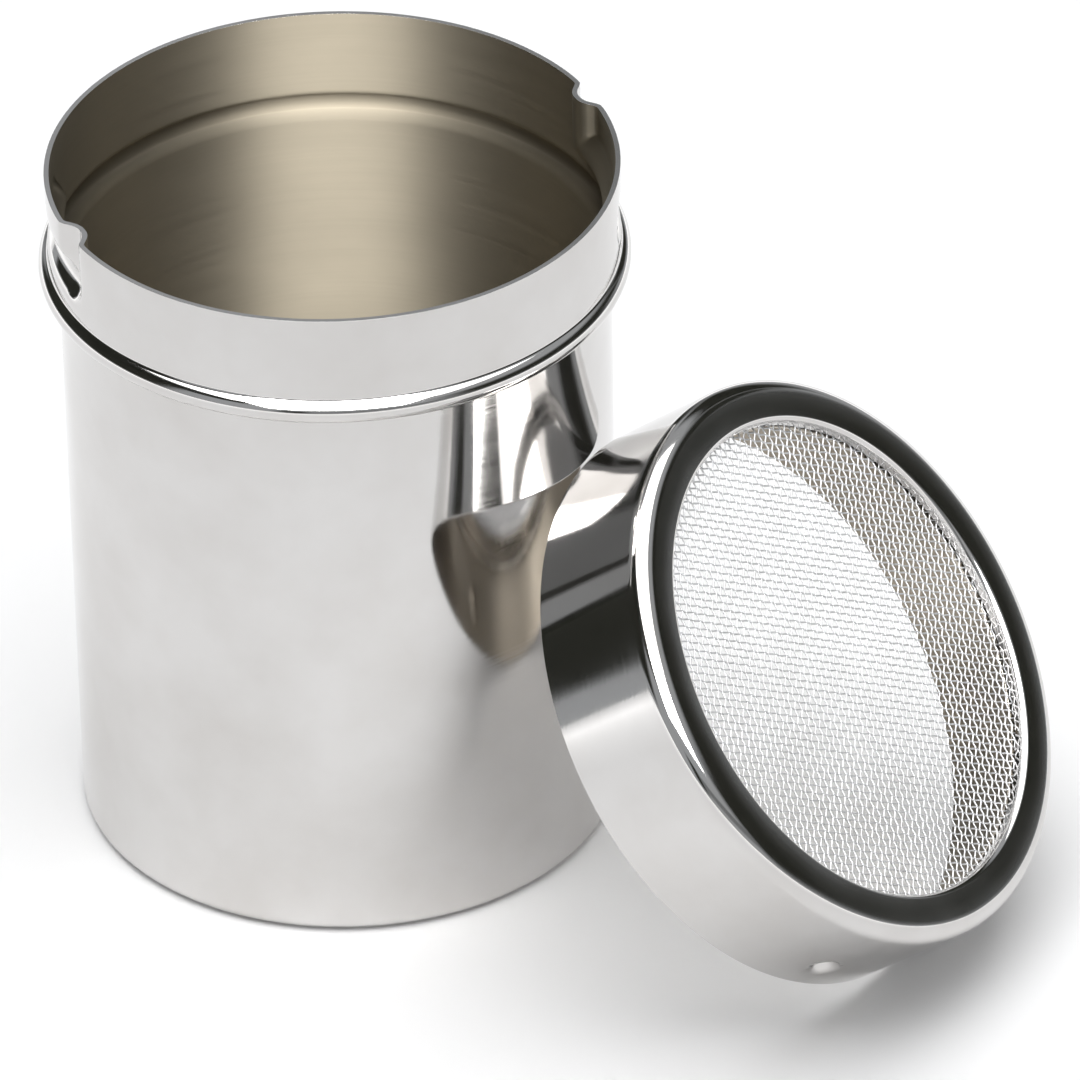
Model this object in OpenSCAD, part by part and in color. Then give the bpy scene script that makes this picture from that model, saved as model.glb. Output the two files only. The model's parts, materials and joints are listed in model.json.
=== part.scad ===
// Mesh-top shaker: a drawn steel can whose neck has two pressed bayonet channels, and its lid,
// taken off and leaning against the can, as it lies when the can is being filled.
// Millimetres. The origin is the centre of the can's base, +Z is up, and the lid leans towards +X.

/* [Can] */
// Outer diameter of the can's straight wall
body_d = 66; // [58:1:80]
// Height of the can from its foot to its rim
can_h = 89; // [70:1:120]
// Thickness of the sheet that the can and the lid are drawn from
sheet = 0.6; // [0.4:0.1:0.8]
// Outer radius of the bend between the can's wall and its base
foot_round = 1.2; // [1.2:0.1:3]
// Width of the flat ring that the can stands on
foot_w = 4.8; // [3:0.2:8]
// How far the middle of the base is pressed up inside that ring
panel_rise = 0.8; // [0.4:0.1:1.5]

/* [Neck] */
// Height from the middle of the bead up to the rim
neck_h = 12.6; // [12:0.2:18]
// How far the neck stands outside the can's straight wall
neck_step = 1.25; // [0.8:0.05:1.6]
// Outer radius of the half-round bead below the neck
bead_round = 1.5; // [1.3:0.1:2]
// How far the bead's crown stands outside the neck
bead_out = 1.15; // [1:0.05:1.4]
// Radius of the fillets above and below the bead
bead_fillet = 0.5; // [0.3:0.1:0.8]

/* [Bayonet] */
// Bearing of the first channel's mouth, anticlockwise from +X
channel_bearing = 54.5; // [0:0.5:90]
// Angle that the lid turns, clockwise, to lock
lock_turn = 30; // [20:1:40]
// Radius of the channels' round bottom
channel_round = 2.4; // [2.2:0.1:3]
// Depth of the channels in the neck's outer face
channel_depth = 1.6; // [1.2:0.1:1.8]
// How much wider in radius each channel's mouth is than its run
mouth_flare = 0.3; // [0.1:0.1:0.5]
// How much wider in radius the pocket at the end of each run is
pocket_flare = 0.15; // [0.1:0.05:0.3]

/* [Lid] */
// Gap in radius between the neck and the lid's skirt
lid_clearance = 0.7; // [0.5:0.05:0.9]
// Height of the lid
lid_h = 17; // [16:0.5:24]
// Outer radius of the bend between the skirt and the top
lid_corner = 2.2; // [1.6:0.1:2.6]
// Width of the lid's top from the skirt's outer face to the opening
rim_w = 5.8; // [5:0.1:8]
// Radius of the gentle crown across that width
rim_crown = 20; // [10:1:20]
// Outer radius of the roll at the opening
lip_round = 1; // [1:0.1:1.8]
// Depth of the lip that is turned down at the opening
lip_depth = 1.7; // [1.6:0.1:4]
// Outer radius of the two lugs pressed into the skirt
lug_round = 2.2; // [1.8:0.1:2.4]
// Height of the lugs above the skirt's edge
lug_h = 5; // [4:0.1:5.4]
// Bearing of the first lug in the lid, from the lid's lowest point
lug_bearing = -43; // [-90:1:90]
// Gap between a lug and the floor of its channel
lug_clearance = 0.35; // [0.2:0.05:0.5]

/* [Mesh] */
// Pitch of the wires in the screen
mesh_pitch = 3.4; // [3.4:0.1:6]
// Thickness of the screen's wires
mesh_wire = 0.6; // [0.4:0.1:1]
// Bearing of the wires in the lid
mesh_bearing = 50; // [0:1:89]
// Gap in radius between the screen's edge and the skirt
mesh_gap = 0.15; // [0.1:0.05:0.4]

/* [Retaining ring] */
// Thickness of the ring that holds the screen against the lip
ring_t = 0.5; // [0.4:0.1:0.8]
// Height of the ring
ring_h = 2.8; // [2:0.1:4]
// Gap in radius between the ring and the skirt that grips it
ring_fit = 0.05; // [0.02:0.01:0.1]

/* [Leaning lid] */
// Angle of the lid's axis above the surface that both pieces stand on
lean_rise = 38.5; // [25:0.5:60]
// Turn of the lid about the upright through the point where it leans on the can
lean_yaw = 4; // [-6:1:6]
// Gap between the lid's edge and the can's wall
lean_gap = 0.2; // [0.1:0.05:0.5]

/* [Hidden] */
$fn = 96;
over = 1;

body_r = body_d / 2;
neck_r = body_r + neck_step;
bead_z = can_h - neck_h;
bead_r = neck_r + bead_out - bead_round;
panel_r = body_r - foot_w;

lid_in_r = neck_r + lid_clearance;
lid_r = lid_in_r + sheet;
opening_r = lid_r - rim_w;
rim_mid_r = (opening_r + lid_r) / 2;
lip_z = lid_h - lip_depth;

// Where the skirt's edge comes to rest on the bead when the lid is on the can
seat_z = bead_z + sqrt(pow(bead_round, 2) - pow(lid_in_r - bead_r, 2));
channel_z = seat_z + lug_h;
channel_r = neck_r - channel_depth + channel_round;
lug_r = neck_r - channel_depth + lug_clearance + lug_round;

mesh_r = lid_in_r - mesh_gap;
mesh_hole = mesh_pitch - mesh_wire;
mesh_rows = ceil(mesh_r / mesh_pitch);
ring_r = lid_in_r - ring_fit;

steel = [0.80, 0.79, 0.76];
wire_steel = [0.86, 0.86, 0.87];

// ---- can ----

// A rounded cup's half section, used for the outside of the can and, inset, for its inside
module cup_half(inset) {
    radius = body_r - inset;
    bend = foot_round - inset;
    translate([0, foot_round]) square([radius, bead_z - foot_round]);
    translate([0, inset]) square([radius - bend, foot_round]);
    translate([radius - bend, foot_round]) circle(bend);
}

// The raised middle of the base, as the space under it
module base_panel(grow) {
    edge = panel_r + grow;
    polygon([[0, -over], [edge, -over], [edge, 0], [edge - panel_rise, panel_rise], [0, panel_rise]]);
}

// The fillet between an upright wall and the bead; side is 1 above the bead and -1 below it
module bead_blend(wall_r, side) {
    reach = bead_round + bead_fillet;
    x = wall_r + bead_fillet;
    z = bead_z + side * sqrt(pow(reach, 2) - pow(x - bead_r, 2));
    touch_x = bead_r + (x - bead_r) * bead_round / reach;
    touch_z = bead_z + (z - bead_z) * bead_round / reach;
    difference() {
        polygon([[wall_r - sheet / 2, z], [x, z], [touch_x, touch_z], [wall_r - sheet / 2, bead_z]]);
        translate([x, z]) circle(bead_fillet);
    }
}

module can_outline() {
    cup_half(0);
    translate([0, bead_z]) square([neck_r, neck_h]);
    translate([bead_r, bead_z]) circle(bead_round);
    bead_blend(body_r, -1);
    bead_blend(neck_r, 1);
}

module can_cavity() {
    groove = bead_round - sheet;
    difference() {
        cup_half(sheet);
        translate([0, sheet]) base_panel(sheet * tan(22.5));
    }
    translate([0, bead_z - groove]) square([bead_r, 2 * groove]);
    translate([bead_r, bead_z]) circle(groove);
    translate([0, bead_z]) square([neck_r - sheet, neck_h + over]);
}

module can_wall() {
    rotate_extrude() difference() {
        can_outline();
        can_cavity();
        base_panel(0);
    }
}

// The path of one lug: down through the mouth, along the run and into the pocket at its end
module channel(grow, top) {
    mouth = channel_round + mouth_flare + grow;
    run = channel_round + grow;
    pocket = channel_round + pocket_flare + grow;
    translate([channel_r, 0, channel_z]) rotate_extrude() {
        square([mouth, top - channel_z]);
        intersection() {
            circle(mouth);
            translate([0, -mouth]) square([mouth, 2 * mouth]);
        }
    }
    rotate([0, 0, -lock_turn]) {
        rotate_extrude(angle = lock_turn) translate([channel_r, channel_z]) circle(run);
        translate([channel_r, 0, channel_z]) sphere(pocket);
    }
}

module both_channels(grow, top) {
    for (half = [0, 180]) rotate([0, 0, channel_bearing + half]) channel(grow, top);
}

module can_body() {
    color(steel) difference() {
        union() {
            can_wall();
            intersection() {
                both_channels(sheet, can_h);
                translate([0, 0, bead_z]) cylinder(r = neck_r - sheet / 2, h = neck_h);
            }
        }
        both_channels(0, can_h + over);
    }
}

// ---- lid, drawn about its own axis with the skirt's edge at zero ----

// Puts a piece of the lid where the lid leans, with its edge on the ground and against the can
module leaning() {
    translate([body_r + lean_gap, 0, 0])
        rotate([0, 0, lean_yaw])
            translate([lid_r * sin(lean_rise), 0, lid_r * cos(lean_rise)])
                rotate([0, 90 - lean_rise, 0])
                    children();
}

// The lid's half section as a solid ring, inset by the sheet for its inside
module lid_half(inset) {
    from = opening_r + inset;
    to = lid_r - inset;
    top = lid_h - inset;
    lip = lip_round - inset;
    bend = lid_corner - inset;
    crown = rim_crown - inset;
    intersection() {
        union() {
            translate([from, -over]) square([lip + over, top - lip + over]);
            translate([from + lip, -over]) square([to - bend - from - lip, top + over]);
            translate([to - bend, -over]) square([bend, top - bend + over]);
            translate([from + lip, top - lip]) circle(lip);
            translate([to - bend, top - bend]) circle(bend);
        }
        union() {
            translate([rim_mid_r, top - crown]) circle(crown);
            translate([from, -over]) square([to - from, top - lid_corner - over]);
        }
    }
}

module lid_section() {
    difference() {
        lid_half(0);
        lid_half(sheet);
        translate([opening_r - over, -2 * over]) square([rim_w + 2 * over, 2 * over]);
        translate([opening_r - over, -over]) square([sheet + 2 * over, lip_z + over]);
    }
}

module both_lugs(radius) {
    for (half = [0, 180]) rotate([0, 0, lug_bearing + half]) translate([lug_r, 0, lug_h]) sphere(radius);
}

module lid_shell() {
    color(steel) leaning() difference() {
        union() {
            rotate_extrude() lid_section();
            intersection() {
                both_lugs(lug_round);
                cylinder(r = lid_in_r + sheet / 2, h = lid_h - lid_corner);
            }
        }
        both_lugs(lug_round - sheet);
    }
}

// The screen, as a flat net of square gaps with a plain edge that the ring grips
module mesh_screen() {
    color(wire_steel) leaning() translate([0, 0, lip_z - mesh_wire]) linear_extrude(mesh_wire) difference() {
        circle(mesh_r);
        rotate(mesh_bearing)
            for (row = [-mesh_rows:mesh_rows], column = [-mesh_rows:mesh_rows])
                if (norm([row, column]) * mesh_pitch + mesh_hole * sqrt(0.5) < mesh_r - mesh_wire)
                    translate([row * mesh_pitch, column * mesh_pitch]) square(mesh_hole, center = true);
    }
}

module mesh_retaining_ring() {
    color(steel) leaning() translate([0, 0, lip_z - mesh_wire - ring_h]) rotate_extrude() {
        translate([opening_r, ring_h - ring_t]) square([ring_r - opening_r, ring_t]);
        translate([ring_r - ring_t, 0]) square([ring_t, ring_h]);
    }
}

can_body();
lid_shell();
mesh_screen();
mesh_retaining_ring();
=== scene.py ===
# %% [markdown]
# # A polished steel shaker can and its mesh lid
#
# The object is a thin can, drawn from stainless sheet, and a twist-on lid with a fine wire screen.
# The lid is off and leans against the can. Both are bright polished steel outside and satin inside.
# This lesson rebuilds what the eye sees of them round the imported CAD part, which is the fixed frame:
# every size here repeats the part's own, in millimetres, and is turned into metres at the last moment.

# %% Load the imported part
import json
import math

import bpy
import numpy as np
from mathutils import Matrix, Vector


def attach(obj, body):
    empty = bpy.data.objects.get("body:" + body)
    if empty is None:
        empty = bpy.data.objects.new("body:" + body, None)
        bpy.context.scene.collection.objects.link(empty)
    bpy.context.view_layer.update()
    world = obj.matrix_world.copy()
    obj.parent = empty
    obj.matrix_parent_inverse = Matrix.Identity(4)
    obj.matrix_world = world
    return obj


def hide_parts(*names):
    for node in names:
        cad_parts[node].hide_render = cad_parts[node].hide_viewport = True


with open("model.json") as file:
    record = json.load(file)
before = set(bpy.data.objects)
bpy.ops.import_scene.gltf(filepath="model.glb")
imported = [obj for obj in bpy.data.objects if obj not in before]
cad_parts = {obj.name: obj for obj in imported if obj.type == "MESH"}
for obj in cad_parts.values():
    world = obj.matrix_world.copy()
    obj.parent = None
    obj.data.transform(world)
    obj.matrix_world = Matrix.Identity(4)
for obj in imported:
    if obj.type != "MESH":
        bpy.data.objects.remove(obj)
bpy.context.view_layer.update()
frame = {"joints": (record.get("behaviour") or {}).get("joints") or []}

MM = 0.001

# %% [markdown]
# ## The camera
#
# A catalogue picture of a small, shiny thing is taken from far off with a long lens, so that its
# upright sides stay parallel. The camera could be placed by eye, but a reflection moves quickly when
# the camera does, so its turn, rise and distance were worked out from the ellipses of the can's rim
# and base, and are only written down here. The camera comes first because all that follows is
# judged through it.

# %% Camera
CAMERA_TURN = math.radians(29.5)
CAMERA_RISE = math.radians(34.51)
CAMERA_ROLL = math.radians(-1.083)
CAMERA_DISTANCE = 1.32
CAMERA_LENS = 362.2
CAMERA_AIM = Vector((0.02093, 0.01139, 0.03444))
CAMERA_REACH = 50


def camera_looking(aim, turn, rise, roll, distance, lens):
    """Adds a camera that looks at aim from that turn and rise, level but for a small roll."""
    data = bpy.data.cameras.new("camera")
    data.lens = lens
    data.clip_end = CAMERA_REACH
    camera = bpy.data.objects.new("camera", data)
    level = Matrix.Rotation(turn, 4, "Z") @ Matrix.Rotation(math.pi / 2 - rise, 4, "X")
    back = level.to_3x3() @ Vector((0, 0, distance))
    camera.matrix_world = Matrix.Translation(aim + back) @ level @ Matrix.Rotation(roll, 4, "Z")
    bpy.context.scene.collection.objects.link(camera)
    bpy.context.scene.camera = camera
    return camera


camera = camera_looking(CAMERA_AIM, CAMERA_TURN, CAMERA_RISE, CAMERA_ROLL, CAMERA_DISTANCE, CAMERA_LENS)
print("camera at", [round(value, 3) for value in camera.matrix_world.translation])

# %% [markdown]
# ## Sheet metal from a profile
#
# The can and the lid were drawn and spun, so each is one profile carried round an axis. A plain
# cylinder with a bevel would lose the bead, the rolled foot and the crown of the lid. A Screw modifier
# would spin a profile, but the dents that come later need the vertices in rows. So the skin is
# written as rings: each point of the profile gives one ring, and neighbouring rings are joined
# by four-sided faces that look outwards.

# %% Points along a profile
ARC_STEP = math.radians(7.5)


def arc(centre, radius, start, stop):
    """Points of an arc, as (radius from the axis, height), between two angles in degrees."""
    start, stop = math.radians(start), math.radians(stop)
    count = max(2, math.ceil(abs(stop - start) / ARC_STEP))
    angles = [start + (stop - start) * index / count for index in range(count + 1)]
    return [(centre[0] + radius * math.cos(a), centre[1] + radius * math.sin(a)) for a in angles]


def straight(start, stop, count):
    """The points inside a straight run, crowded towards its ends so that bends stay crisp."""
    shares = [(1 - math.cos(math.pi * (index + 1) / (count + 1))) / 2 for index in range(count)]
    return [tuple(a + (b - a) * share for a, b in zip(start, stop)) for share in shares]


def even(start, stop, spacing):
    """The points inside a straight run, evenly spaced."""
    count = math.ceil(math.dist(start, stop) / spacing)
    return [tuple(a + (b - a) * index / count for a, b in zip(start, stop)) for index in range(1, count)]


print("a quarter bend has", len(arc((0, 0), 1, 0, 90)), "points")

# %% Spin a profile into rows of vertices
STEPS = 384


def spin(profile):
    """Rows of (x, y, z), one row for each point of the profile, in millimetres."""
    profile = np.array(profile, float)
    bearings = np.arange(STEPS) * (2 * math.pi / STEPS)
    rows = np.empty((len(profile), STEPS, 3))
    rows[..., 0] = profile[:, :1] * np.cos(bearings)
    rows[..., 1] = profile[:, :1] * np.sin(bearings)
    rows[..., 2] = profile[:, 1:]
    return rows


def grid_faces(rows, columns):
    """Four-sided faces between neighbouring rows, closed round the axis."""
    row, column = np.meshgrid(np.arange(rows - 1), np.arange(columns), indexing="ij")
    after = (column + 1) % columns
    low, high = row * columns, (row + 1) * columns
    corners = (low + column, low + after, high + after, high + column)
    return np.stack(corners, -1).reshape(-1, 4)


def piece_from(name, vertices, faces):
    """A smooth mesh object from vertices in millimetres."""
    metres = np.asarray(vertices, float).reshape(-1, 3) * MM
    mesh = bpy.data.meshes.new(name)
    mesh.from_pydata(metres.tolist(), [], [list(face) for face in faces])
    mesh.validate()
    mesh.shade_smooth()
    piece = bpy.data.objects.new(name, mesh)
    bpy.context.scene.collection.objects.link(piece)
    return piece


print("one ring has", STEPS, "points,", 360 / STEPS, "degrees apart")

# %% [markdown]
# ## The can's skin
#
# The can stands on a narrow flat ring, and inside that ring its base is pressed up a little. The
# wall runs straight up to a half-round bead, where the lid comes to rest, and above the bead is the
# neck, slightly wider than the wall. The profile follows the outer face of the sheet from the middle
# of the base to the rim. The rings are far apart on the straight wall, which is plain, and close
# together on the neck, which will be pressed.

# %% Bead
BODY_R = 33.0
NECK_R = 34.25
BEAD_Z = 76.4
BEAD_R = 33.9
BEAD_ROUND = 1.5
BEAD_FILLET = 0.5


def bead_profile():
    """The bead with the fillets that lead into it from the wall and out of it to the neck."""
    reach = BEAD_ROUND + BEAD_FILLET
    low_r, high_r = BODY_R + BEAD_FILLET, NECK_R + BEAD_FILLET
    low_z = BEAD_Z - math.sqrt(reach ** 2 - (low_r - BEAD_R) ** 2)
    high_z = BEAD_Z + math.sqrt(reach ** 2 - (high_r - BEAD_R) ** 2)
    low_turn = math.degrees(math.atan2(low_z - BEAD_Z, low_r - BEAD_R))
    high_turn = math.degrees(math.atan2(high_z - BEAD_Z, high_r - BEAD_R))
    points = arc((low_r, low_z), BEAD_FILLET, 180, low_turn + 180)
    points += arc((BEAD_R, BEAD_Z), BEAD_ROUND, low_turn, high_turn)[1:]
    points += arc((high_r, high_z), BEAD_FILLET, high_turn - 180, -180)[1:]
    return points


bead = bead_profile()
print("the bead starts at", round(bead[0][1], 2), "mm and ends at", round(bead[-1][1], 2), "mm")

# %% Profile of the can
CAN_H = 89.0
FOOT_ROUND = 1.2
PANEL_R = 28.2
PANEL_RISE = 0.8
PANEL_BEND = 0.5
# the panel's edge slopes at this angle, so it is as wide as it is high
PANEL_SLOPE = 45
# one face closes the middle of the base, inside this radius
MIDDLE_R = 0.4
PANEL_RINGS, FOOT_RINGS, WALL_RINGS = 6, 3, 14
NECK_SPACING = 0.45


def can_profile():
    """The outer face of the can's sheet, from the middle of the base to the rim."""
    bend = PANEL_BEND * math.tan(math.radians(PANEL_SLOPE / 2))
    panel_in = (PANEL_R - PANEL_RISE - bend, PANEL_RISE - PANEL_BEND)
    panel_out = (PANEL_R + bend, PANEL_BEND)
    foot = (BODY_R - FOOT_ROUND, FOOT_ROUND)
    points = [(MIDDLE_R, PANEL_RISE)]
    points += straight((MIDDLE_R, PANEL_RISE), (panel_in[0], PANEL_RISE), PANEL_RINGS)
    points += arc(panel_in, PANEL_BEND, 90, 90 - PANEL_SLOPE)
    points += arc(panel_out, PANEL_BEND, 270 - PANEL_SLOPE, 270)
    points += straight((panel_out[0], 0), (foot[0], 0), FOOT_RINGS)
    points += arc(foot, FOOT_ROUND, -90, 0)
    points += straight((BODY_R, FOOT_ROUND), bead[0], WALL_RINGS)
    points += bead
    points += even(bead[-1], (NECK_R, CAN_H), NECK_SPACING)
    points += [(NECK_R, CAN_H)]
    return points


can_points = can_profile()
print("the can's profile has", len(can_points), "points, up to", can_points[-1])

# %% [markdown]
# ## The bayonet channels
#
# Two channels are pressed into the neck from outside. Each starts as a notch in the rim, comes
# down and turns a short way round, and the lid's lugs run in it. They could be cut with a Boolean,
# but a cut has sharp lips and no metal behind it, and pressed sheet has soft shoulders and shows as a
# ridge inside. So every vertex of the neck is moved inwards by how near it is to the channel's path.

# %% Pressing
# a pressing bends the sheet out to this many times its half width
PRESS_REACH = 3


def pressed_depth(distance, depth, half_width, shoulder):
    """Depth of a round-bottomed pressing at a distance from its middle, with soft shoulders."""
    plain = depth * (1 - (distance / half_width) ** 2)
    soft = (plain + np.sqrt(plain ** 2 + shoulder ** 2)) / 2
    return soft * (distance < PRESS_REACH * half_width)


def degrees_from(rows, bearing):
    """How far round from a bearing each vertex is, from -180 to 180 degrees."""
    turn = np.degrees(np.arctan2(rows[..., 1], rows[..., 0])) - bearing
    return (turn + 180) % 360 - 180


def press(rows, depth):
    """Moves every vertex towards the axis by its depth."""
    radius = np.hypot(rows[..., 0], rows[..., 1])
    rows[..., :2] *= ((radius - depth) / radius)[..., None]


middle, edge = pressed_depth(np.array([0.0, 1.0]), 1.0, 1.0, 0.1)
print("a pressing 1 mm deep is", round(middle, 2), "mm deep in the middle and", round(edge, 2), "at its edge")

# %% Press the channels
OPPOSITE = (0, 180)
CHANNEL_BEARING = 54.5
LOCK_TURN = 30.0
CHANNEL_Z = 82.47
CHANNEL_DEPTH = 1.6
CHANNEL_HALF = 2.26
CHANNEL_SHOULDER = 0.45
MOUTH_FLARE = 0.3
POCKET_FLARE = 0.15


def channel_distance(rows, bearing):
    """How far each vertex is from one channel's path, on the neck's surface rolled out flat."""
    around = np.radians(degrees_from(rows, bearing)) * NECK_R
    height = rows[..., 2] - CHANNEL_Z
    run = math.radians(LOCK_TURN) * NECK_R
    down = np.hypot(around, np.minimum(height, 0)) - MOUTH_FLARE
    along = np.hypot(around - np.clip(around, -run, 0), height)
    pocket = np.hypot(around + run, height) - POCKET_FLARE
    return np.maximum(np.minimum(np.minimum(down, along), pocket), 0)


can_rows = spin(can_points)
for half_turn in OPPOSITE:
    distance = channel_distance(can_rows, CHANNEL_BEARING + half_turn)
    press(can_rows, pressed_depth(distance, CHANNEL_DEPTH, CHANNEL_HALF, CHANNEL_SHOULDER))
neck_rows = can_rows[can_rows[:, 0, 2] > BEAD_Z + BEAD_ROUND]
least = float(np.hypot(neck_rows[..., 0], neck_rows[..., 1]).min())
print("least radius of the pressed neck, in mm:", round(least, 2))

# %% [markdown]
# ## From a skin to a sheet
#
# A sheet has two faces and a cut edge. Modelling the inner face again would double every mistake, and
# the Solidify modifier does it from the outer one, at an even thickness also round the bends. It gives
# the inner face its own material, which is wanted here: the outside is polished and the inside is
# only satin. A small Bevel takes the sharpness off the cut edge, as tumbling does on the real piece.

# %% Sheet with a deburred edge
SHEET = 0.6
EDGE_ROUND = 0.12
EDGE_SEGMENTS = 2
EDGE_ANGLE = math.radians(50)


def make_sheet(piece, thickness):
    """Gives a skin its thickness, inwards, and rounds the cut edges."""
    solid = piece.modifiers.new("sheet", "SOLIDIFY")
    solid.thickness = thickness * MM
    solid.offset = -1
    solid.use_even_offset = True
    solid.use_rim = True
    solid.material_offset = 1
    solid.material_offset_rim = 0
    edge = piece.modifiers.new("deburred edge", "BEVEL")
    edge.width = EDGE_ROUND * MM
    edge.segments = EDGE_SEGMENTS
    edge.limit_method = "ANGLE"
    edge.angle_limit = EDGE_ANGLE
    edge.harden_normals = True


can_faces = grid_faces(len(can_rows), STEPS).tolist()
middle_face = list(range(STEPS))[::-1]
can = piece_from("shaker_can", can_rows, can_faces + [middle_face])
make_sheet(can, SHEET)
print("the can's skin has", len(can.data.vertices), "vertices and", len(can.data.polygons), "faces")

# %% [markdown]
# ## Where the lid leans
#
# The lid stands on the low side of its skirt and rests its open edge on the can. All of its pieces are
# built about the lid's own axis, with the skirt's edge at zero, and one matrix puts them in place. Its
# slope comes from the frame, from the axis that the lid lifts away along, and not from a second
# measurement, so the visible lid can't drift from the CAD lid.

# %% The lid's own axes
LID_R = 35.55
LEAN_GAP = 0.2

lid_axis = Vector(frame["joints"][0]["axis"]).normalized()
lean_rise = math.asin(lid_axis.z)
lean_yaw = math.atan2(lid_axis.y, lid_axis.x)
touch = Matrix.Translation(Vector((BODY_R + LEAN_GAP, 0, 0)) * MM)
lift = Matrix.Translation(Vector((LID_R * math.sin(lean_rise), 0, LID_R * math.cos(lean_rise))) * MM)
LEANING = touch @ Matrix.Rotation(lean_yaw, 4, "Z") @ lift @ Matrix.Rotation(math.pi / 2 - lean_rise, 4, "Y")
print("the lid's axis rises", round(math.degrees(lean_rise), 2), "degrees",
      "and is turned", round(math.degrees(lean_yaw), 2))

# %% [markdown]
# ## The lid's shell
#
# The skirt bends over a tight corner into a broad, nearly flat rim, and turns down at the opening into
# a short lip that holds the screen. The rim looks flat but has a gentle crown, and that crown
# matters: it is what spreads the dark reflection into a soft band. Two lugs are pressed into the skirt to
# run in the can's channels, and from outside they are round dents.

# %% Profile of the lid
LID_H = 17.0
LID_CORNER = 2.2
OPENING_R = 29.75
LIP_ROUND = 1.0
LIP_Z = 15.3
RIM_CROWN = 30.0
# the rings are close together up to this height, where the lugs will be pressed
LUG_ZONE = 9
SKIRT_RINGS = 6
SKIRT_SPACING, RIM_SPACING, LIP_SPACING = 0.5, 0.4, 0.3


def crown_height(radius):
    """Height of the gently crowned rim at a radius."""
    middle = (OPENING_R + LID_R) / 2
    return LID_H - RIM_CROWN + math.sqrt(RIM_CROWN ** 2 - (radius - middle) ** 2)


def lid_profile():
    """The outer face of the lid's sheet, from the skirt's edge to the lip's."""
    corner = (LID_R - LID_CORNER, LID_H - LID_CORNER)
    lip = (OPENING_R + LIP_ROUND, LID_H - LIP_ROUND)
    points = [(LID_R, 0.0)]
    points += even((LID_R, 0), (LID_R, LUG_ZONE), SKIRT_SPACING)
    points += straight((LID_R, LUG_ZONE), (LID_R, corner[1]), SKIRT_RINGS)
    points += arc(corner, LID_CORNER, 0, 90)
    points += even((corner[0], LID_H), (lip[0], LID_H), RIM_SPACING)
    points += arc(lip, LIP_ROUND, 90, 180)
    points += even((OPENING_R, lip[1]), (OPENING_R, LIP_Z), LIP_SPACING)
    points += [(OPENING_R, LIP_Z)]
    return [(radius, min(height, crown_height(radius))) for radius, height in points]


lid_points = lid_profile()
print("the lid's profile has", len(lid_points), "points; the crown falls",
      round(LID_H - crown_height(LID_R), 2), "mm to the rim's edges")

# %% Press the lugs and make the shell
LUG_BEARING = -43.0
LUG_H = 5.0
LUG_DEPTH = 1.95
LUG_HALF = 1.75
LUG_SHOULDER = 0.5


def lug_distance(rows, bearing):
    """How far each vertex is from one lug's middle, on the skirt's surface rolled out flat."""
    around = np.radians(degrees_from(rows, bearing)) * LID_R
    return np.hypot(around, rows[..., 2] - LUG_H)


lid_rows = spin(lid_points)
for half_turn in OPPOSITE:
    distance = lug_distance(lid_rows, LUG_BEARING + half_turn)
    press(lid_rows, pressed_depth(distance, LUG_DEPTH, LUG_HALF, LUG_SHOULDER))
lid = piece_from("lid_shell_polished", lid_rows, grid_faces(len(lid_rows), STEPS).tolist())
lid.matrix_world = LEANING
make_sheet(lid, SHEET)
print("the lid's skin has", len(lid.data.vertices), "vertices")

# %% [markdown]
# ## The wire screen
#
# The screen is a plain weave: each wire goes over one crossing wire and under the next. An image of a
# grid would look flat and printed, and a bump map gives no holes. So every wire is a thin tube of its own,
# five-sided, which is enough for a wire a quarter of a millimetre thick. A wire keeps level while it
# crosses another and slopes in between, so two points for each crossing give the weave its wave.

# %% One wire
WEAVE_PITCH = 0.95
WIRE_R = 0.115
WIRE_SIDES = 5
SCREEN_R = 34.2
# how far to each side of a crossing the wire stays level, as a share of the pitch
LEVEL_SHARE = 0.23


def wire_points(number):
    """The line of one wire along x, as its points (x, y, height)."""
    across = (number + 0.5) * WEAVE_PITCH
    reach = math.sqrt(max(SCREEN_R ** 2 - across ** 2, 0))
    last = int(reach / WEAVE_PITCH)
    crossings = np.arange(-last, last) + 0.5
    before = (crossings - LEVEL_SHARE) * WEAVE_PITCH
    after = (crossings + LEVEL_SHARE) * WEAVE_PITCH
    x = np.stack([before, after], -1).ravel()
    over = np.where((np.floor(crossings) + number) % 2 == 0, 1.0, -1.0)
    return np.stack([x, np.full_like(x, across), np.repeat(over, 2) * WIRE_R], -1)


def tube(points, start):
    """Vertices and faces of a closed tube round a line that runs along x."""
    turns = np.arange(WIRE_SIDES) * (2 * math.pi / WIRE_SIDES)
    ring = np.stack([np.zeros_like(turns), np.cos(turns), np.sin(turns)], -1) * WIRE_R
    vertices = (points[:, None, :] + ring[None]).reshape(-1, 3)
    faces = (grid_faces(len(points), WIRE_SIDES) + start)[:, ::-1].tolist()
    faces.append([start + index for index in range(WIRE_SIDES)])
    faces.append([start + len(vertices) - 1 - index for index in range(WIRE_SIDES)])
    return vertices, faces


print("the middle wire has", len(wire_points(0)), "points")

# %% Weave
WEAVE_BEARING = 50.0
SCREEN_Z = 15.0
FEWEST_POINTS = 4


def woven_screen():
    """Wires both ways, the second set turned a quarter and waved the other way."""
    count = int(SCREEN_R / WEAVE_PITCH)
    vertices, faces, start = [], [], 0
    for across in (False, True):
        for number in range(-count, count):
            points = wire_points(number)
            if len(points) < FEWEST_POINTS:
                continue
            if across:
                points[:, 2] *= -1
            wire, sides = tube(points, start)
            if across:
                wire = np.stack([-wire[:, 1], wire[:, 0], wire[:, 2]], -1)
            vertices.append(wire)
            faces += sides
            start += len(wire)
    return np.concatenate(vertices), faces


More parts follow.
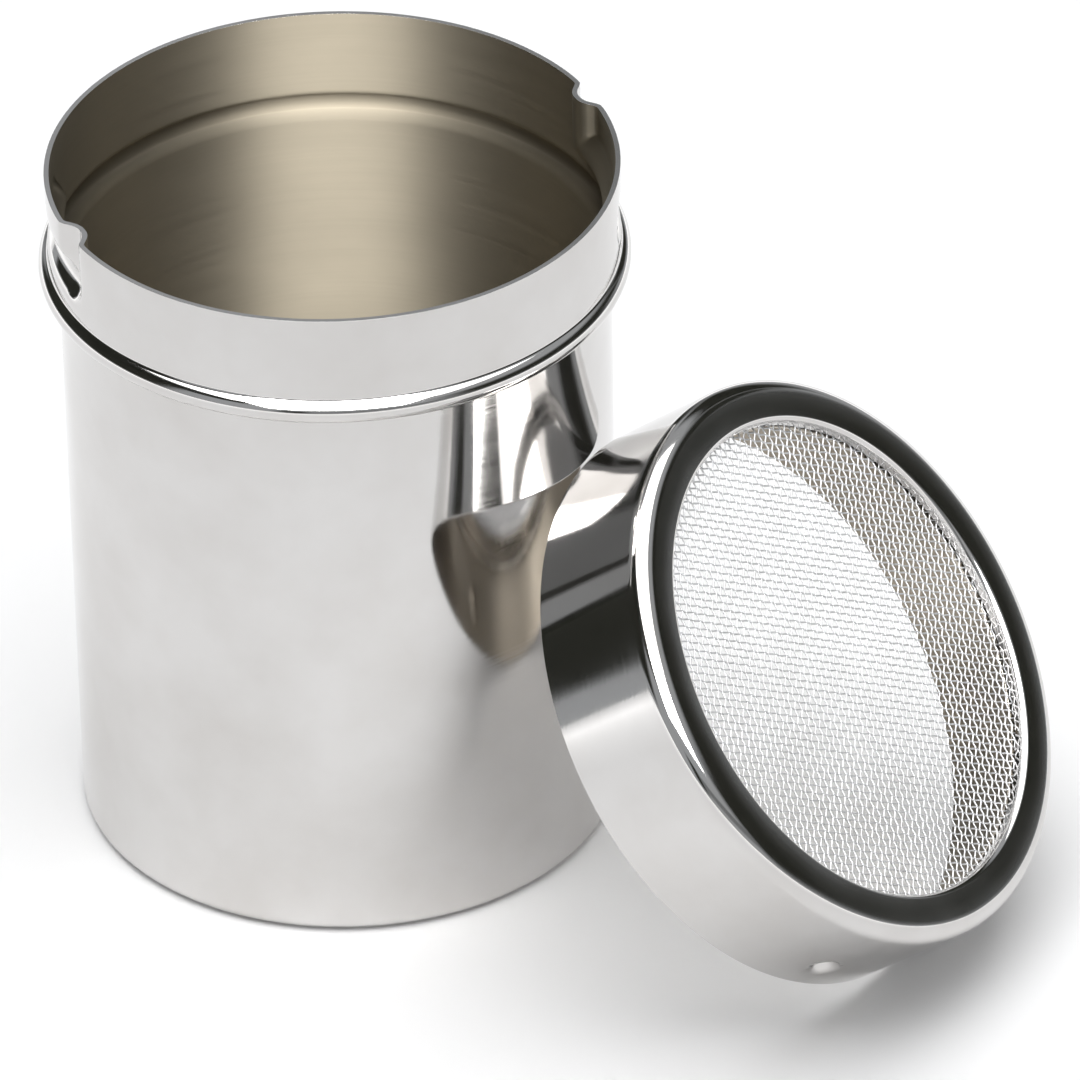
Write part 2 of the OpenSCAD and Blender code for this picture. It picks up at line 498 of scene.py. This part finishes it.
vertices, faces = woven_screen()
turn = math.radians(WEAVE_BEARING)
turned = np.stack([
    vertices[:, 0] * math.cos(turn) - vertices[:, 1] * math.sin(turn),
    vertices[:, 0] * math.sin(turn) + vertices[:, 1] * math.cos(turn),
    vertices[:, 2] + SCREEN_Z,
], -1)
screen = piece_from("woven_screen", turned, faces)
screen.matrix_world = LEANING
print("the screen has", len(vertices), "vertices and about", 2 * len(faces), "triangles")

# %% [markdown]
# ## The retaining ring
#
# Under the screen a thin ring, L-shaped in section, presses it against the lip and is gripped by the
# skirt. From outside it shows only as a bright line through the wires, but the screen would hang
# in the air without it. It is made as the shells are: its outer face is spun and then given thickness.

# %% Ring
RING_R = 34.9
RING_TOP = 14.7
RING_H = 2.8
RING_T = 0.5
RING_BEND = 0.8
RING_SPACING, FLANGE_SPACING = 0.5, 0.6


def ring_profile():
    """The outer face of the ring's sheet, up its wall and in to its opening."""
    bend = (RING_R - RING_BEND, RING_TOP - RING_BEND)
    points = [(RING_R, RING_TOP - RING_H)]
    points += even((RING_R, RING_TOP - RING_H), (RING_R, bend[1]), RING_SPACING)
    points += arc(bend, RING_BEND, 0, 90)
    points += even((bend[0], RING_TOP), (OPENING_R, RING_TOP), FLANGE_SPACING)
    points += [(OPENING_R, RING_TOP)]
    return points


ring_rows = spin(ring_profile())
ring = piece_from("screen_retaining_ring", ring_rows, grid_faces(len(ring_rows), STEPS).tolist())
ring.matrix_world = LEANING
make_sheet(ring, RING_T)
print("the ring's skin has", len(ring.data.vertices), "vertices")

# %% [markdown]
# ## Node helpers
#
# Materials are written as nodes. A node tree built line by line soon hides what it does, so a few short
# helpers add a node, link it and set its values, and each material below reads as a list of what the
# surface is. They work on a world as well, because it has a node tree too.

# %% Helpers for nodes


def new_material(name):
    """An empty material with a Principled surface; returns the material and its shader."""
    material = bpy.data.materials.new(name)
    material.use_nodes = True
    return material, material.node_tree.nodes["Principled BSDF"]


def link(owner, value, socket):
    """Leads a node's output into a socket."""
    owner.node_tree.links.new(value, socket)


def give(owner, value, socket):
    """Sets a socket to a value, or leads a node's output into it."""
    if isinstance(value, bpy.types.NodeSocket):
        link(owner, value, socket)
    else:
        socket.default_value = value


def add(owner, kind, settings=None, **inputs):
    """Adds a node. Settings are its own options, and inputs are values or the sockets to link."""
    node = owner.node_tree.nodes.new(kind)
    for name, value in (settings or {}).items():
        setattr(node, name, value)
    for name, value in inputs.items():
        give(owner, value, node.inputs[name.replace("_", " ")])
    return node


def computed(owner, operation, *values):
    """The result of a Math node on values or sockets."""
    node = add(owner, "ShaderNodeMath", {"operation": operation})
    for value, socket in zip(values, node.inputs):
        give(owner, value, socket)
    return node.outputs[0]


# %% Helpers for materials


def stretched_noise(material, scale, detail, roughness):
    """Noise in the piece's own coordinates, with a scale for each direction, per metre."""
    place = add(material, "ShaderNodeTexCoord").outputs["Object"]
    spread = add(material, "ShaderNodeMapping", Vector=place, Scale=scale).outputs["Vector"]
    noise = add(material, "ShaderNodeTexNoise", Vector=spread, Scale=1.0, Detail=detail, Roughness=roughness)
    return noise.outputs["Fac"]


def ranged(material, value, old, new):
    """Maps a value from one range to another and holds it there."""
    node = add(material, "ShaderNodeMapRange", {"clamp": True}, Value=value,
               From_Min=old[0], From_Max=old[1], To_Min=new[0], To_Max=new[1])
    return node.outputs["Result"]


def bumped(material, height, distance, before=None):
    """A bump whose full height is distance, in metres."""
    inputs = {"Height": height, "Distance": distance, "Strength": 1.0}
    if before is not None:
        inputs["Normal"] = before
    return add(material, "ShaderNodeBump", **inputs).outputs["Normal"]


def mottled(material, share, colour, other_colour):
    """Goes from one colour to another as share goes from 0 to 1."""
    ramp = add(material, "ShaderNodeValToRGB", Fac=share)
    ramp.color_ramp.elements[0].color = colour
    ramp.color_ramp.elements[1].color = other_colour
    return ramp.outputs["Color"]


# %% [markdown]
# ## Polished steel
#
# Polished stainless steel is a mirror with a little warmth. What keeps it from looking like chrome in a
# game is its unevenness: the sheet is never quite true, so long reflections wobble, and the polishing wheel
# leaves fine lines round the piece and hazy patches. The wobble is a weak bump of a centimetre or so,
# and the lines are noise squeezed along the axis. The lines and the patches vary the roughness a little.

# %% Polished steel
STEEL_COLOUR = (0.655, 0.645, 0.635, 1)
STEEL_COLOUR_WORN = (0.60, 0.585, 0.57, 1)
# each noise: its scale per metre in x, y and z, its detail, and its roughness
POLISHING_LINES = ((30, 30, 2600), 3, 0.6)
HAZE_PATCHES = ((60, 60, 60), 4, 0.55)
WOBBLE = ((70, 70, 26), 1, 0.4)
# the part of each noise that is used, and the roughness that it adds
WORN_RANGE = (0.35, 0.7)
LINE_RANGE, LINE_HAZE = (0.3, 0.7), 0.03
PATCH_RANGE, PATCH_HAZE = (0.4, 0.75), 0.05
WOBBLE_HEIGHT = 0.12 * MM
LINE_HEIGHT = 0.0012 * MM


def polished_steel(name, haze):
    """Mirror steel; haze is its least roughness."""
    material, surface = new_material(name)
    lines = stretched_noise(material, *POLISHING_LINES)
    patches = stretched_noise(material, *HAZE_PATCHES)
    wobble = stretched_noise(material, *WOBBLE)
    surface.inputs["Metallic"].default_value = 1.0
    worn = ranged(material, patches, WORN_RANGE, (0, 1))
    link(material, mottled(material, worn, STEEL_COLOUR, STEEL_COLOUR_WORN), surface.inputs["Base Color"])
    fine = ranged(material, lines, LINE_RANGE, (haze, haze + LINE_HAZE))
    hazy = ranged(material, patches, PATCH_RANGE, (0, PATCH_HAZE))
    link(material, computed(material, "ADD", fine, hazy), surface.inputs["Roughness"])
    normal = bumped(material, wobble, WOBBLE_HEIGHT)
    normal = bumped(material, lines, LINE_HEIGHT, normal)
    link(material, normal, surface.inputs["Normal"])
    return material


can_outside = polished_steel("polished_steel", haze=0.05)
lid_outside = polished_steel("polished_steel_lid", haze=0.04)
print("polished steel has", len(can_outside.node_tree.nodes), "nodes")

# %% [markdown]
# ## Satin steel
#
# The inside is not polished. Drawing the cup leaves fine lines round it, and these spread a
# reflection up and down but hardly sideways, which is why the inside of a can shows upright bands of
# light. Plain roughness would blur it alike both ways. The Principled shader has Anisotropic for
# this, with a Tangent that runs round the axis. The can's satin colour is much darker than the lid's,
# and that darkness is painted shade for the light that a deep can swallows. Its satin is also rougher.

# %% Satin steel
DRAWN_LINES = ((25, 25, 1900), 4, 0.65)
DULL_PATCHES = ((45, 45, 90), 4, 0.55)
DULL_RANGE = (0.3, 0.7)
DRAWN_RANGE = (0.25, 0.75)
SATIN_DARK = 0.9
# the lines are this much smoother and this much rougher than the steel's own roughness
SMOOTHER, ROUGHER = 0.04, 0.08
DRAWN_HEIGHT = 0.004 * MM
QUARTER_TURN = 0.25


def satin_steel(name, colour, roughness, spread):
    """Steel in a colour that goes down to nine tenths of it in patches."""
    material, surface = new_material(name)
    lines = stretched_noise(material, *DRAWN_LINES)
    patches = stretched_noise(material, *DULL_PATCHES)
    surface.inputs["Metallic"].default_value = 1.0
    surface.inputs["Anisotropic"].default_value = spread
    surface.inputs["Anisotropic Rotation"].default_value = QUARTER_TURN
    dull = tuple(SATIN_DARK * channel for channel in colour)
    share = ranged(material, patches, DULL_RANGE, (0, 1))
    link(material, mottled(material, share, (*colour, 1), (*dull, 1)), surface.inputs["Base Color"])
    rough = ranged(material, lines, DRAWN_RANGE, (roughness - SMOOTHER, roughness + ROUGHER))
    link(material, rough, surface.inputs["Roughness"])
    around = add(material, "ShaderNodeTangent", {"direction_type": "RADIAL", "axis": "Z"})
    link(material, around.outputs["Tangent"], surface.inputs["Tangent"])
    link(material, bumped(material, lines, DRAWN_HEIGHT), surface.inputs["Normal"])
    return material


# the can's inside colour is darkened: painted shade for the dim inside of a deep can
can_inside_painted_shade = satin_steel("satin_steel", colour=(0.30, 0.267, 0.207), roughness=0.68, spread=1.0)
lid_inside = satin_steel("satin_steel_lid", colour=(0.45, 0.40, 0.33), roughness=0.3, spread=0.5)
ring_steel = satin_steel("ring_steel", colour=(0.6, 0.55, 0.48), roughness=0.24, spread=0.3)
print("satin steel has", len(can_inside_painted_shade.node_tree.nodes), "nodes")

# %% [markdown]
# ## Wire
#
# Woven wire is drawn, not polished: bright, a little rough, and duller in patches.
# A full mirror would turn so thin a wire into glitter, so it is made only half metallic.

# %% Drawn wire
WIRE_COLOUR = (0.74, 0.745, 0.76, 1)
WIRE_COLOUR_DULL = (0.64, 0.64, 0.645, 1)
WIRE_METALLIC = 0.5
WIRE_ROUGHNESS = (0.34, 0.48)
WIRE_GRAIN = ((2500, 2500, 2500), 2, 0.5)
WIRE_PATCHES = ((120, 120, 120), 3, 0.5)
WIRE_RANGE = (0.3, 0.7)
GRAIN_HEIGHT = 0.004 * MM


def drawn_wire(name):
    """Bright wire with a fine grain and duller patches."""
    material, surface = new_material(name)
    grain = stretched_noise(material, *WIRE_GRAIN)
    patches = stretched_noise(material, *WIRE_PATCHES)
    surface.inputs["Metallic"].default_value = WIRE_METALLIC
    dull = ranged(material, patches, WIRE_RANGE, (0, 1))
    link(material, mottled(material, dull, WIRE_COLOUR, WIRE_COLOUR_DULL), surface.inputs["Base Color"])
    link(material, ranged(material, grain, WIRE_RANGE, WIRE_ROUGHNESS), surface.inputs["Roughness"])
    link(material, bumped(material, grain, GRAIN_HEIGHT), surface.inputs["Normal"])
    return material


wire = drawn_wire("drawn_wire")
print("drawn wire has", len(wire.node_tree.nodes), "nodes")

# %% [markdown]
# ## Which piece has which finish
#
# Each piece takes its place in the frame here: its materials, the CAD body that it moves with, and the CAD
# node that it stands for.

# %% Dress the pieces


def dress(piece, materials, body, node):
    """Gives a piece its finishes, the outer face's first, and its place in the frame."""
    for material in materials:
        piece.data.materials.append(material)
    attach(piece, body)
    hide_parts(node)
    print(piece.name, "rides on", body, "and stands for", node)


dress(can, [can_outside, can_inside_painted_shade], "can", "can_body")
dress(lid, [lid_outside, lid_inside], "lid", "lid_shell")
dress(screen, [wire], "lid", "mesh_screen")
dress(ring, [ring_steel, ring_steel], "lid", "mesh_retaining_ring")

# %% [markdown]
# ## The table
#
# Polished steel shows its surroundings and hardly anything of its own, so the table and the lights are
# half of the finish. The table is white and wide, because the can's wall mirrors it nearly everywhere.
# A white table in a plain light still comes out a little grey, and more light would be too much for the
# steel. So the table has a faint glow that only the camera and the mirrors see, and keeps its shadow.
# The glow grows with the distance, where the lamp reaches it less, so that the horizon mirrors white.

# %% Who sees a glow


def seen(owner, camera, mirror):
    """One strength for what the camera sees, another for what it sees in steel, and none for the rest.
    Each strength is a value or a socket."""
    path = add(owner, "ShaderNodeLightPath").outputs
    straight_on = computed(owner, "MAXIMUM", path["Is Camera Ray"], path["Is Transmission Ray"])
    plain = computed(owner, "MULTIPLY", straight_on, camera)
    return computed(owner, "MULTIPLY_ADD", path["Is Glossy Ray"], mirror, plain)


# %% Table
FLOOR_HALF = 6.0
FLOOR_COLOUR = (0.93, 0.93, 0.935, 1)
FLOOR_GLOW = 0.08
FAR_GLOW = 0.9
NEAR, FAR = 0.2, 0.9
WHITE = (1, 1, 1, 1)
MATT = 0.9


def make_matt(surface, colour):
    """Sets a shader to a colour with no shine at all."""
    surface.inputs["Base Color"].default_value = colour
    surface.inputs["Roughness"].default_value = MATT
    surface.inputs["Specular IOR Level"].default_value = 0.0


def table_surface():
    """White, with a glow that grows from the object outwards."""
    material, surface = new_material("table_white")
    make_matt(surface, FLOOR_COLOUR)
    surface.inputs["Emission Color"].default_value = WHITE
    place = add(material, "ShaderNodeTexCoord").outputs["Object"]
    away = add(material, "ShaderNodeVectorMath", {"operation": "LENGTH"})
    link(material, place, away.inputs[0])
    glow = ranged(material, away.outputs["Value"], (NEAR, FAR), (FLOOR_GLOW, FAR_GLOW))
    link(material, seen(material, glow, glow), surface.inputs["Emission Strength"])
    return material


def stage_mesh(name, vertices, faces, material):
    """A mesh in metres that belongs to the surroundings and not to the object."""
    mesh = bpy.data.meshes.new(name)
    mesh.from_pydata(vertices, [], faces)
    mesh.materials.append(material)
    thing = bpy.data.objects.new(name, mesh)
    bpy.context.scene.collection.objects.link(thing)
    return thing


corners = [(x * FLOOR_HALF, y * FLOOR_HALF, 0) for x, y in ((-1, -1), (1, -1), (1, 1), (-1, 1))]
stage_mesh("floor", corners, [(0, 1, 2, 3)], table_surface())
print("table is", 2 * FLOOR_HALF, "m wide")

# %% [markdown]
# ## Black screens
#
# A photographer sets black cloth round a shiny thing, because steel that mirrors only white looks like
# paper. The bands on the lid's rim and skirt, on the can beside the lid and inside the can were each
# followed back to the direction that they mirror, and the panels hang where those directions
# meet. Their lower edges thin out slowly, which gives the rim its change from black to grey. Cloth
# that only mirrors see takes no light from the table.

# %% Where the cloth hangs
# bearings from and to, their softness, heights from and to, their softness, and how dense the cloth is
SCREEN_PANELS = [
    (-60, 46, 26, -4, 42, 17, 14, 1.0),
    (-50, 52, 12, 12, 42, 8, 14, 1.0),
    (40, 92, 8, 6, 42, 10, 10, 1.0),
    (80, 128, 20, 4, 30, 4, 10, 1.0),
    (120, 212, 10, 5, 58, 1.5, 4, 1.0),
    (200, 252, 8, 37, 58, 3, 4, 1.0),
    (247, 263, 4, 4, 20, 3, 3, 1.0),
    (-105, -20, 8, 6, 19, 6, 3, 0.55),
]


def eased(value):
    """Goes smoothly from 0 to 1 as the value does, and holds there."""
    value = np.clip(value, 0, 1)
    return value * value * (3 - 2 * value)


def cloth_cover(bearing, height):
    """How much of the light is held back in a direction, from 0 to 1."""
    cover = 0.0
    for start, stop, soft, low, high, low_soft, high_soft, dense in SCREEN_PANELS:
        middle = (start + stop) / 2
        away = (bearing - middle + 180) % 360 - 180
        sides = eased(((stop - start) / 2 - abs(away)) / soft)
        ends = eased((height - low) / low_soft) * eased((high - height) / high_soft)
        cover = max(cover, float(sides * ends * dense))
    return cover


print(len(SCREEN_PANELS), "panels; to the right and 20 degrees up the cover is", cloth_cover(0, 20))

# %% Black screens
SCREEN_DISTANCE = 2.2
BEARING_STEP, HEIGHT_STEP = 3, 1
SCREEN_LOW, SCREEN_HIGH = 2, 89
SCREEN_COLOUR = (0.065, 0.066, 0.055, 1)


def soft_black(name):
    """Black cloth that thins out to nothing where the mesh's own cover says so."""
    material, surface = new_material(name)
    make_matt(surface, SCREEN_COLOUR)
    cover = add(material, "ShaderNodeAttribute", {"attribute_name": "cover"}).outputs["Fac"]
    clear = add(material, "ShaderNodeBsdfTransparent").outputs["BSDF"]
    mix = add(material, "ShaderNodeMixShader", Fac=cover)
    link(material, clear, mix.inputs[1])
    link(material, surface.outputs["BSDF"], mix.inputs[2])
    link(material, mix.outputs["Shader"], material.node_tree.nodes["Material Output"].inputs["Surface"])
    return material


def black_screens(name):
    """A dome of cloth round the object. Bearings count in degrees from the camera's right,
    anticlockwise seen from above, and heights from the table. Only mirrors see it."""
    bearings = range(0, 360, BEARING_STEP)
    heights = range(SCREEN_LOW, SCREEN_HIGH + 1, HEIGHT_STEP)
    vertices, cover = [], []
    for height in heights:
        for bearing in bearings:
            turn, rise = math.radians(bearing) + CAMERA_TURN, math.radians(height)
            way = Vector((math.cos(rise) * math.cos(turn), math.cos(rise) * math.sin(turn), math.sin(rise)))
            vertices.append(tuple(way * SCREEN_DISTANCE))
            cover.append(cloth_cover(bearing, height))
    faces = grid_faces(len(heights), len(bearings)).tolist()
    dome = stage_mesh(name, vertices, faces, soft_black(name))
    dome.data.attributes.new("cover", "FLOAT", "POINT").data.foreach_set("value", cover)
    dome.visible_camera = False
    dome.visible_diffuse = False
    dome.visible_shadow = False
    return dome


dome = black_screens("black_screens")
print("the cloth has", len(dome.data.vertices), "points,", SCREEN_DISTANCE, "m from the can")

# %% [markdown]
# ## Sky, lamp and reflector
#
# The even sky and one wide lamp overhead light the table at a plain level, so that white comes out
# about white. What steel mirrors is another matter: a lit reflector beside the camera looks brighter than
# any table, and it draws the pale band down the inside of the can. Mirrors see it, and the table does not.

# %% Sky
SKY = (0.94, 0.97, 1.0, 1)
SKY_STRENGTH = 0.12
SKY_SEEN = 1.0
SKY_MIRRORED = 0.45

world = bpy.data.worlds.new("sky")
bpy.context.scene.world = world
world.use_nodes = True
background = world.node_tree.nodes["Background"]
background.inputs["Color"].default_value = SKY
brightest = computed(world, "MAXIMUM", seen(world, SKY_SEEN, SKY_MIRRORED), SKY_STRENGTH)
link(world, brightest, background.inputs["Strength"])
print("the sky is", SKY_SEEN, "to the camera,", SKY_MIRRORED, "in steel and", SKY_STRENGTH, "on the table")

# %% Lamps
LAMP_DISTANCE = 1.5
LAMP_POWER = 30.0
LAMP_SIZE = (1.8, 1.8)
LAMP_RISE = math.radians(95)
REFLECTOR_POWER = 60.0
REFLECTOR_SIZE = (1.3, 1.2)
REFLECTOR_RISE = math.radians(55)


def softbox(name, power, size, rise):
    """A lamp that looks at the object from the camera's bearing and its own height."""
    data = bpy.data.lights.new(name, "AREA")
    data.shape = "RECTANGLE"
    data.size, data.size_y = size
    data.energy = power
    lamp = bpy.data.objects.new(name, data)
    towards = Matrix.Rotation(CAMERA_TURN, 4, "Z") @ Matrix.Rotation(math.pi / 2 - rise, 4, "X")
    lamp.matrix_world = towards @ Matrix.Translation((0, 0, LAMP_DISTANCE))
    bpy.context.scene.collection.objects.link(lamp)
    return lamp


softbox("softbox", LAMP_POWER, LAMP_SIZE, LAMP_RISE)
reflector = softbox("reflector", REFLECTOR_POWER, REFLECTOR_SIZE, REFLECTOR_RISE)
reflector.visible_diffuse = False
bpy.context.scene.view_settings.view_transform = "Standard"
print("a softbox of", LAMP_POWER, "W and a reflector of", REFLECTOR_POWER, "W")
